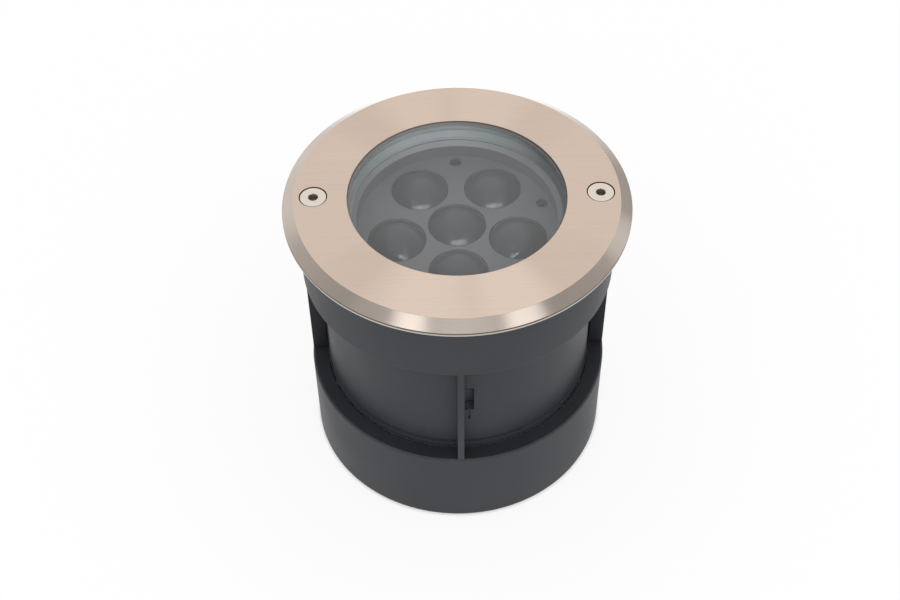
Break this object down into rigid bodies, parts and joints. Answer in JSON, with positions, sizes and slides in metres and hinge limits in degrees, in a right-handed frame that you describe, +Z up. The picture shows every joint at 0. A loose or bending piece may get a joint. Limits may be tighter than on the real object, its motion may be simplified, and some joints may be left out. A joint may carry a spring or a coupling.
{
  "type": "in ground well light",
  "caption": "Round in-ground well light: brushed bevelled face ring over a thick glass with clustered lenses, on a dark open-windowed mounting sleeve holding the lamp can.",
  "frame": {"origin": "centre of the sleeve's foot, on the surface it stands on", "axes": "+Z up out of the ground, along the light's axis; X through the two face screws; -Y towards the front web of the sleeve"},
  "size_m": [0.16, 0.16, 0.1513],
  "materials": {
    "sleeve_plastic": "dark grey moulded plastic, soft satin",
    "brushed_stainless": "fine straight brushing, warm tone",
    "screw_steel": "plain stainless",
    "brass": "plain brass",
    "black_rubber": "black rubber",
    "clear_glass": "clear toughened glass, ground edge",
    "pale_silicone": "pale grey silicone",
    "dark_casting": "die-cast aluminium, dark powder coat",
    "black_plastic": "fine-grained black plastic",
    "clear_acrylic": "clear polished lens plastic",
    "led_package": "white package under a yellow dome",
    "white_board": "metal-core board, white coat",
    "grey_pad": "soft grey pad",
    "bare_aluminium": "turned or tinned metal",
    "cream_plastic": "cream plastic",
    "red_lead": "red insulation",
    "blue_lead": "blue insulation",
    "driver_case": "potted grey case",
    "gland_plastic": "black moulded plastic"
  },
  "bodies": {
    "sleeve": {"sleeve_collar": "sleeve_plastic", "sleeve_webs": "sleeve_plastic", "sleeve_foot_ring": "sleeve_plastic", "conduit_bush_right": "gland_plastic", "conduit_bush_left": "gland_plastic"},
    "lamp": {"face_ring": "brushed_stainless", "face_screws": "screw_steel", "thread_inserts": "brass", "rim_seal": "black_rubber", "glass_bead": "black_rubber", "glass_disc": "clear_glass", "glass_seal": "pale_silicone", "lamp_body": "dark_casting", "lens_mask": "black_plastic", "mask_screws": "screw_steel", "mask_spacers": "bare_aluminium", "lens_1": "clear_acrylic", "lens_2": "clear_acrylic", "lens_3": "clear_acrylic", "lens_4": "clear_acrylic", "lens_5": "clear_acrylic", "lens_6": "clear_acrylic", "lens_holder_1": "black_plastic", "lens_holder_2": "black_plastic", "lens_holder_3": "black_plastic", "lens_holder_4": "black_plastic", "lens_holder_5": "black_plastic", "lens_holder_6": "black_plastic", "led_1": "led_package", "led_2": "led_package", "led_3": "led_package", "led_4": "led_package", "led_5": "led_package", "led_6": "led_package", "led_board": "white_board", "thermal_pad": "grey_pad", "board_connector": "cream_plastic", "led_leads": "red_lead", "driver_module": "driver_case", "driver_screws": "screw_steel", "terminal_block": "cream_plastic", "terminal_screw": "screw_steel", "supply_leads": "blue_lead", "earth_screw": "brass", "earth_tag": "bare_aluminium", "base_cap": "dark_casting", "base_seal": "black_rubber", "base_screws": "screw_steel", "gland_body": "gland_plastic", "gland_washer": "black_rubber", "gland_locknut": "gland_plastic", "gland_insert": "black_rubber", "gland_nut": "gland_plastic"}
  },
  "joints": [
    {"name": "lamp_lift", "type": "slide", "parent": "sleeve", "child": "lamp", "axis": [0, 0, 1], "range_m": [0, 0.155]}
  ]
}
